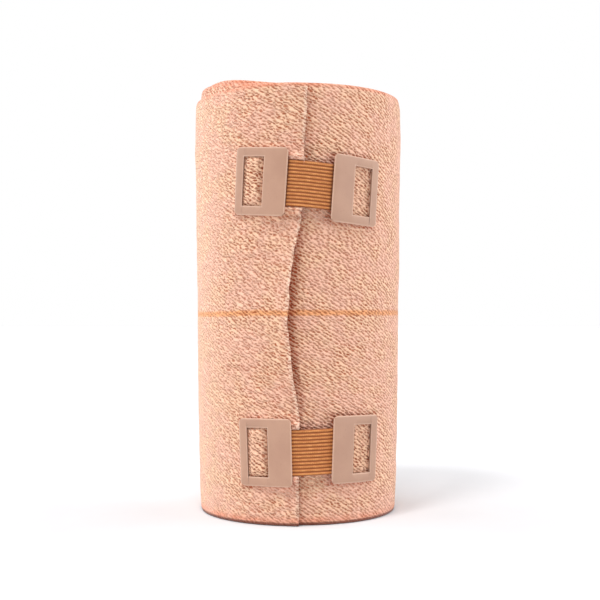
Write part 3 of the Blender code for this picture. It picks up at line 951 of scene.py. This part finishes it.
bpy.ops.object.select_all(action="DESELECT")
bpy.ops.mesh.primitive_plane_add(size=1.0, location=(0.0, 0.0, 0.0))
flat_plate = begin("flat_plate")
bpy.ops.transform.resize(value=(PLATE_WIDTH, PLATE_HEIGHT, 1.0))
bpy.ops.mesh.bevel(offset=PLATE_CORNER, segments=CORNER_STEPS, affect="VERTICES")
for place in (WINDOW_IN, WINDOW_OUT):
    cut(0, place)
for place in (-WINDOW_HEIGHT / 2, WINDOW_HEIGHT / 2):
    cut(1, place)
select("faces", lambda c: WINDOW_IN < c.x < WINDOW_OUT and abs(c.y) < WINDOW_HEIGHT / 2)
bpy.ops.mesh.delete(type="FACE")
select("verts", lambda c: (near(c.x, WINDOW_IN) or near(c.x, WINDOW_OUT))
       and near(abs(c.y), WINDOW_HEIGHT / 2))
bpy.ops.mesh.bevel(offset=WINDOW_CORNER, segments=WINDOW_STEPS, affect="VERTICES")
for k in range(1, BEND_CUTS):
    cut(0, PLATE_WIDTH * (k / BEND_CUTS - 0.5))
bpy.ops.mesh.select_all(action="SELECT")
bpy.ops.mesh.extrude_region_move(TRANSFORM_OT_translate={"value": (0.0, 0.0, PLATE_THICKNESS)})
bpy.ops.mesh.select_all(action="SELECT")
bpy.ops.mesh.normals_make_consistent(inside=False)
bpy.ops.mesh.select_mode(type="EDGE")
bpy.ops.mesh.select_all(action="DESELECT")
bpy.ops.mesh.edges_select_sharp(sharpness=math.radians(60.0))
bpy.ops.mesh.bevel(offset=EDGE_ROUND, segments=EDGE_STEPS, affect="EDGES")
bpy.ops.object.mode_set(mode="OBJECT")
print("stamped plate:", len(flat_plate.data.polygons), "faces")

# %% [markdown]
# ## Flap and prongs
# Neither shows in the photograph, so both are plain. The flap is a flat box whose inner end is
# pulled up into the plate, with its fold rounded by a bevel. The prongs are one tapered box,
# copied along the window. Boolean modifiers fuse them with the plate, because on the real clip
# all three are one piece of steel.

# %% Fold the flap
FLAP_THICKNESS = 0.35
CLAMP_ROOM = 0.5        # between the plate and its flap, for the elastic
ROOT = 0.22             # how far the flap and the prongs reach up into the plate
FOLD_ROUND = 0.3
FOLD_STEPS = 4

wall = WINDOW_IN - SET_BACK
floor_level = -CLAMP_ROOM - FLAP_THICKNESS
bpy.ops.object.select_all(action="DESELECT")
bpy.ops.mesh.primitive_cube_add(size=1.0, location=(0.0, 0.0, 0.0))
flap = begin("flap")
bpy.ops.transform.resize(value=(FLAP_LENGTH, FLAP_HEIGHT, FLAP_THICKNESS))
bpy.ops.transform.translate(value=(wall - FLAP_LENGTH / 2, 0.0, floor_level + FLAP_THICKNESS / 2))
cut(0, wall - FLAP_THICKNESS)
select("faces", lambda c: c.x > wall - FLAP_THICKNESS and near(c.z, -CLAMP_ROOM))
bpy.ops.mesh.extrude_region_move(
    TRANSFORM_OT_translate={"value": (0.0, 0.0, CLAMP_ROOM + ROOT)})
select("edges", lambda c: near(c.x, wall) and near(c.z, floor_level))
bpy.ops.mesh.bevel(offset=FOLD_ROUND, segments=FOLD_STEPS, affect="EDGES")
bpy.ops.object.mode_set(mode="OBJECT")
print("flap:", len(flap.data.polygons), "faces")

# %% Cut the prongs
PRONG_COUNT = 4
PRONG_PITCH = 2.6
PRONG_BASE = 1.7
PRONG_TIP = 0.35
PRONG_LENGTH = 1.9
PRONG_THICKNESS = 0.4
TIP_THINNER = 0.6

bpy.ops.object.select_all(action="DESELECT")
bpy.ops.mesh.primitive_cube_add(size=1.0, location=(0.0, 0.0, 0.0))
prongs = begin("prongs")
bpy.ops.transform.resize(value=(PRONG_THICKNESS, PRONG_BASE, PRONG_LENGTH + ROOT))
bpy.ops.transform.translate(value=(WINDOW_OUT + SET_BACK + PRONG_THICKNESS / 2,
                                   -PRONG_PITCH * (PRONG_COUNT - 1) / 2,
                                   (ROOT - PRONG_LENGTH) / 2))
select("faces", lambda c: near(c.z, -PRONG_LENGTH))
bpy.ops.transform.resize(value=(TIP_THINNER, PRONG_TIP / PRONG_BASE, 1.0))
bpy.ops.mesh.select_all(action="SELECT")
for _ in range(PRONG_COUNT - 1):
    bpy.ops.mesh.duplicate_move(TRANSFORM_OT_translate={"value": (0.0, PRONG_PITCH, 0.0)})
bpy.ops.object.mode_set(mode="OBJECT")
fuse(flat_plate, flap, prongs)
drawing = flat_plate.data.uv_layers.new(name="drawing")
for loop, corner in zip(flat_plate.data.loops, drawing.data):
    corner.uv = flat_plate.data.vertices[loop.vertex_index].co.xy
print("plate with flap and prongs:", len(flat_plate.data.polygons), "faces")

# %% [markdown]
# ## Lacquer
# The plates have a thin satin lacquer in a greyish skin colour. It is almost even: faint specks
# and a slight unevenness of the sprayed coat, rims lighter from wear and from a painted
# highlight where the light catches, and a painted shade on the window's walls. Edge wear could
# be found by a pointiness node, but the rims are simple lines on the plate's own drawing, so
# they are measured there.

# %% The lacquer's finish
RIM = (0.1, 0.4)                # mm from an edge
WINDOW_WALL = (-0.02, 0.06)
CLOUD_SCALE = 160.0             # on Object coordinates, which are metres
SPECK_SCALE = 2600.0
COAT_LIGHT = linear(187, 145, 121)
COAT_DARK = linear(180, 138, 115)
SPECK = linear(168, 124, 102)
RIM_WEAR_AND_HIGHLIGHT = linear(222, 184, 160)
WALL_SHADE = linear(96, 50, 30)

lacquer, lacquer_shader, start = new_finish("lacquered_steel", Roughness=0.42, Coat_Weight=0.15,
                                            Coat_Roughness=0.3)
flat = start.make("UVMap", {"uv_map": "drawing"})
x, y = flat.part(0), flat.part(1)
body = start.make("TexCoord", out=3)
from_edge = (PLATE_WIDTH / 2 - abs(x)).least(PLATE_HEIGHT / 2 - abs(y))
window_x = abs(x - (WINDOW_IN + WINDOW_OUT) / 2) - WINDOW_WIDTH / 2
from_window = window_x.most(abs(y) - WINDOW_HEIGHT / 2)
rim_wear_and_highlight = (1.0 - from_edge.step(*RIM)).most(1.0 - from_window.step(*RIM))
window_wall = 1.0 - from_window.step(*WINDOW_WALL)
cloudy = body.cloud(CLOUD_SCALE, 3.0, "3D")
specks = body.cloud(SPECK_SCALE, 2.0, "3D")
coat = cloudy.step(0.3, 0.7).mix(COAT_DARK, COAT_LIGHT)
coat = (specks.step(0.6, 0.75) * 0.35).mix(coat, SPECK)
# the rims are lighter: partly wear, partly a painted highlight where the light catches
coat = (rim_wear_and_highlight * 0.6).mix(coat, RIM_WEAR_AND_HIGHLIGHT)
coat = (window_wall * 0.85).mix(coat, WALL_SHADE)
sprayed = specks * 0.012 + cloudy * 0.05
plug(lacquer_shader, Base_Color=coat, Normal=sprayed.bumped(),
     Roughness=cloudy * 0.12 + 0.36 + specks * 0.06)
print("lacquer's nodes:", len(lacquer.node_tree.nodes))

# %% [markdown]
# ## Four plates
# Each plate lies on the roll at its own angle and is bent to it, the right ones turned round.
# A Simple Deform modifier can bend a plate, but not along a line that slants over a roll of
# uneven radius, so every point of the copy is laid in its place by `wrap`.

# %% Bend a plate for each place
for clip in CLIPS:
    for side, word in ((-1, "left"), (1, "right")):
        bpy.ops.object.select_all(action="DESELECT")
        flat_plate.select_set(True)
        bpy.context.view_layer.objects.active = flat_plate
        bpy.ops.object.duplicate(linked=False)
        plate = bpy.context.object
        plate.name = f"clip_plate_{clip.name}_{word}"
        points = np.zeros(len(plate.data.vertices) * 3, dtype=np.float32)
        plate.data.vertices.foreach_get("co", points)
        px, py, pz = points.reshape(-1, 3).T.astype(float)
        pivot = side * clip.spacing / 2
        turn = clip.left_turn if side < 0 else clip.right_turn
        lift = plate_lift(PLATE_WIDTH / 2 - px) + pz
        bent = wrap(clip, pivot + side * px, side * py, lift, side, turn, pivot)
        plate.data.vertices.foreach_set("co", bent.ravel())
        plate.data.update()
        bpy.ops.object.shade_smooth_by_angle(angle=math.radians(40.0))
        plate.data.materials.clear()
        plate.data.materials.append(lacquer)
        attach(plate, "root")
        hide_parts(f"clip_{clip.name}_plate_{word}")
bpy.data.objects.remove(flat_plate, do_unlink=True)
print("plates bent:", 2 * len(CLIPS))

# %% [markdown]
# ## The elastic
# Each clip's elastic is a narrow woven band: rubber cords lie side by side along it, wrapped by
# thin orange-brown weft, so it shows ribs from plate to plate and fine cross threads. The ribs
# could be an array of cylinders, but a woven band is one sheet. It is a net of code, because
# its profile of thirteen ribs is a repeated sum, and its ends narrow where the flaps squeeze
# them.

# %% Make the elastic bands
RIBS = 13
RIB_STEPS = 6
BAND_STEPS = 56
RIB_RISE = 0.14
RIB_FULLNESS = 0.7      # under 1, the ribs are fuller than a sine
FREE_GAP = 0.3          # between the band and the plates' level, where it is free
HELD_GAP = 0.04         # and where a flap holds it
SQUEEZED = 0.42         # its thickness there
SQUEEZE_START = 1.2     # it grows thinner over this length, from the plate's edge inwards
END_ROOM = 0.05
WAIST = 0.012           # the stretched band is this much narrower at its middle


def band_profile():
    """Across the band: place from its middle, and how full it is, 1 on a rib and 0 between."""
    across = np.linspace(-ELASTIC_HEIGHT / 2, ELASTIC_HEIGHT / 2, RIBS * RIB_STEPS + 1)
    phase = (across / ELASTIC_HEIGHT + 0.5) * RIBS
    return across, np.abs(np.sin(np.pi * phase)) ** RIB_FULLNESS


def make_band(clip):
    end = clip.spacing / 2 + WINDOW_IN - SET_BACK - FLAP_THICKNESS - END_ROOM
    inner_end = clip.spacing / 2 - PLATE_WIDTH / 2
    across, full = band_profile()
    edge_x = (math.radians(float(edge_angle(clip.height)) - clip.angle)
              * bend_radius(clip, 0.0) + FREE_GAP)
    places, uvs = [], []
    for x in np.linspace(-end, end, BAND_STEPS + 1):
        lift = plate_lift(clip.spacing / 2 + PLATE_WIDTH / 2 - max(abs(x), inner_end))
        held = float(soft_box(abs(x), inner_end + SQUEEZE_START, math.inf, SQUEEZE_START))
        top = lift - FREE_GAP + held * (FREE_GAP - HELD_GAP)
        thick = ELASTIC_THICKNESS + held * (SQUEEZED - ELASTIC_THICKNESS)
        side = 2.0 * min(1.0, max(0.0, (x - edge_x) / (inner_end - edge_x))) - 1.0
        rise = RIB_RISE * (1.0 - 0.5 * held)
        waist = 1.0 - WAIST * math.cos(math.pi * x / (2.0 * end))
        upper = top - rise * (1.0 - full)
        lower = top - thick + rise * 0.5 * (1.0 - full)
        ys = np.concatenate([across, across[::-1]]) * waist
        zs = np.concatenate([upper, lower[::-1]])
        places.append(wrap(clip, np.full(ys.shape, x), ys, zs, side))
        uvs.append(np.stack([np.full(ys.shape, x), ys / waist], axis=-1))
    count = len(places[0])
    faces = [[count * k + i, count * k + (i + 1) % count,
              count * (k + 1) + (i + 1) % count, count * (k + 1) + i]
             for k in range(BAND_STEPS) for i in range(count)]
    half = count // 2
    for base in (0, count * BAND_STEPS):
        faces += [[base + i, base + i + 1, base + count - 2 - i, base + count - 1 - i]
                  for i in range(half - 1)]
    return closed_sheet(f"clip_elastic_{clip.name}", np.concatenate(places).tolist(), faces,
                        np.concatenate(uvs), "band")


bands = [make_band(clip) for clip in CLIPS]
for clip, band in zip(CLIPS, bands):
    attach(band, "root")
    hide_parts(f"clip_{clip.name}_elastic")
print("bands:", [len(band.data.polygons) for band in bands])

# %% [markdown]
# ## The elastic's colours
# The cords are a light orange-brown, the grooves between them dark, and the cross threads a
# little darker than the cords. Both waves are read on the band's own drawing, so they follow
# its bends. The ends have a painted shade at the plates, where little light gets in.

# %% The elastic's finish
SHOWN_TO = (CLIPS[0].spacing - PLATE_WIDTH) / 2
THREAD_PITCH = 0.42
GROOVE = (0.05, 0.85)
CORD_DARK = linear(202, 126, 64)
CORD_LIGHT = linear(224, 152, 86)
CROSS_THREAD = linear(176, 104, 50)
GROOVE_SHADE = linear(144, 74, 26)
END_SHADE = linear(112, 58, 24)

elastic, elastic_shader, start = new_finish("ribbed_elastic", Roughness=0.75, Sheen_Weight=0.1)
flat = start.make("UVMap", {"uv_map": "band"})
x, y = flat.part(0), flat.part(1)
wobble = flat.cloud(1.3, 2.0) - 0.5
rib_wave = (y / ELASTIC_HEIGHT + 0.5 + wobble * 0.006) * (RIBS * 2.0 * math.pi)
rib = 0.5 - rib_wave.sum("COSINE", rib_wave) * 0.5
thread_wave = (x + wobble * 0.3) * (2.0 * math.pi / THREAD_PITCH)
threads = 0.5 + thread_wave.sum("SINE", thread_wave) * 0.5
rubbed = start.join(x * 0.7, y * 3.0).cloud(1.0, 3.0)
cord = rubbed.step(0.35, 0.7).mix(CORD_DARK, CORD_LIGHT)
cord = (threads * 0.25).mix(cord, CROSS_THREAD)
band_colour = rib.step(*GROOVE).mix(GROOVE_SHADE, cord)
at_plate = (abs(x) - SHOWN_TO).step(-0.45, -0.05)
band_colour = (at_plate * 0.8).mix(band_colour, END_SHADE)
band_relief = rib * 0.05 + threads * rib * 0.035 + rubbed * 0.03
plug(elastic_shader, Base_Color=band_colour, Normal=band_relief.bumped())
for band in bands:
    band.data.materials.append(elastic)
print("elastic's nodes:", len(elastic.node_tree.nodes))
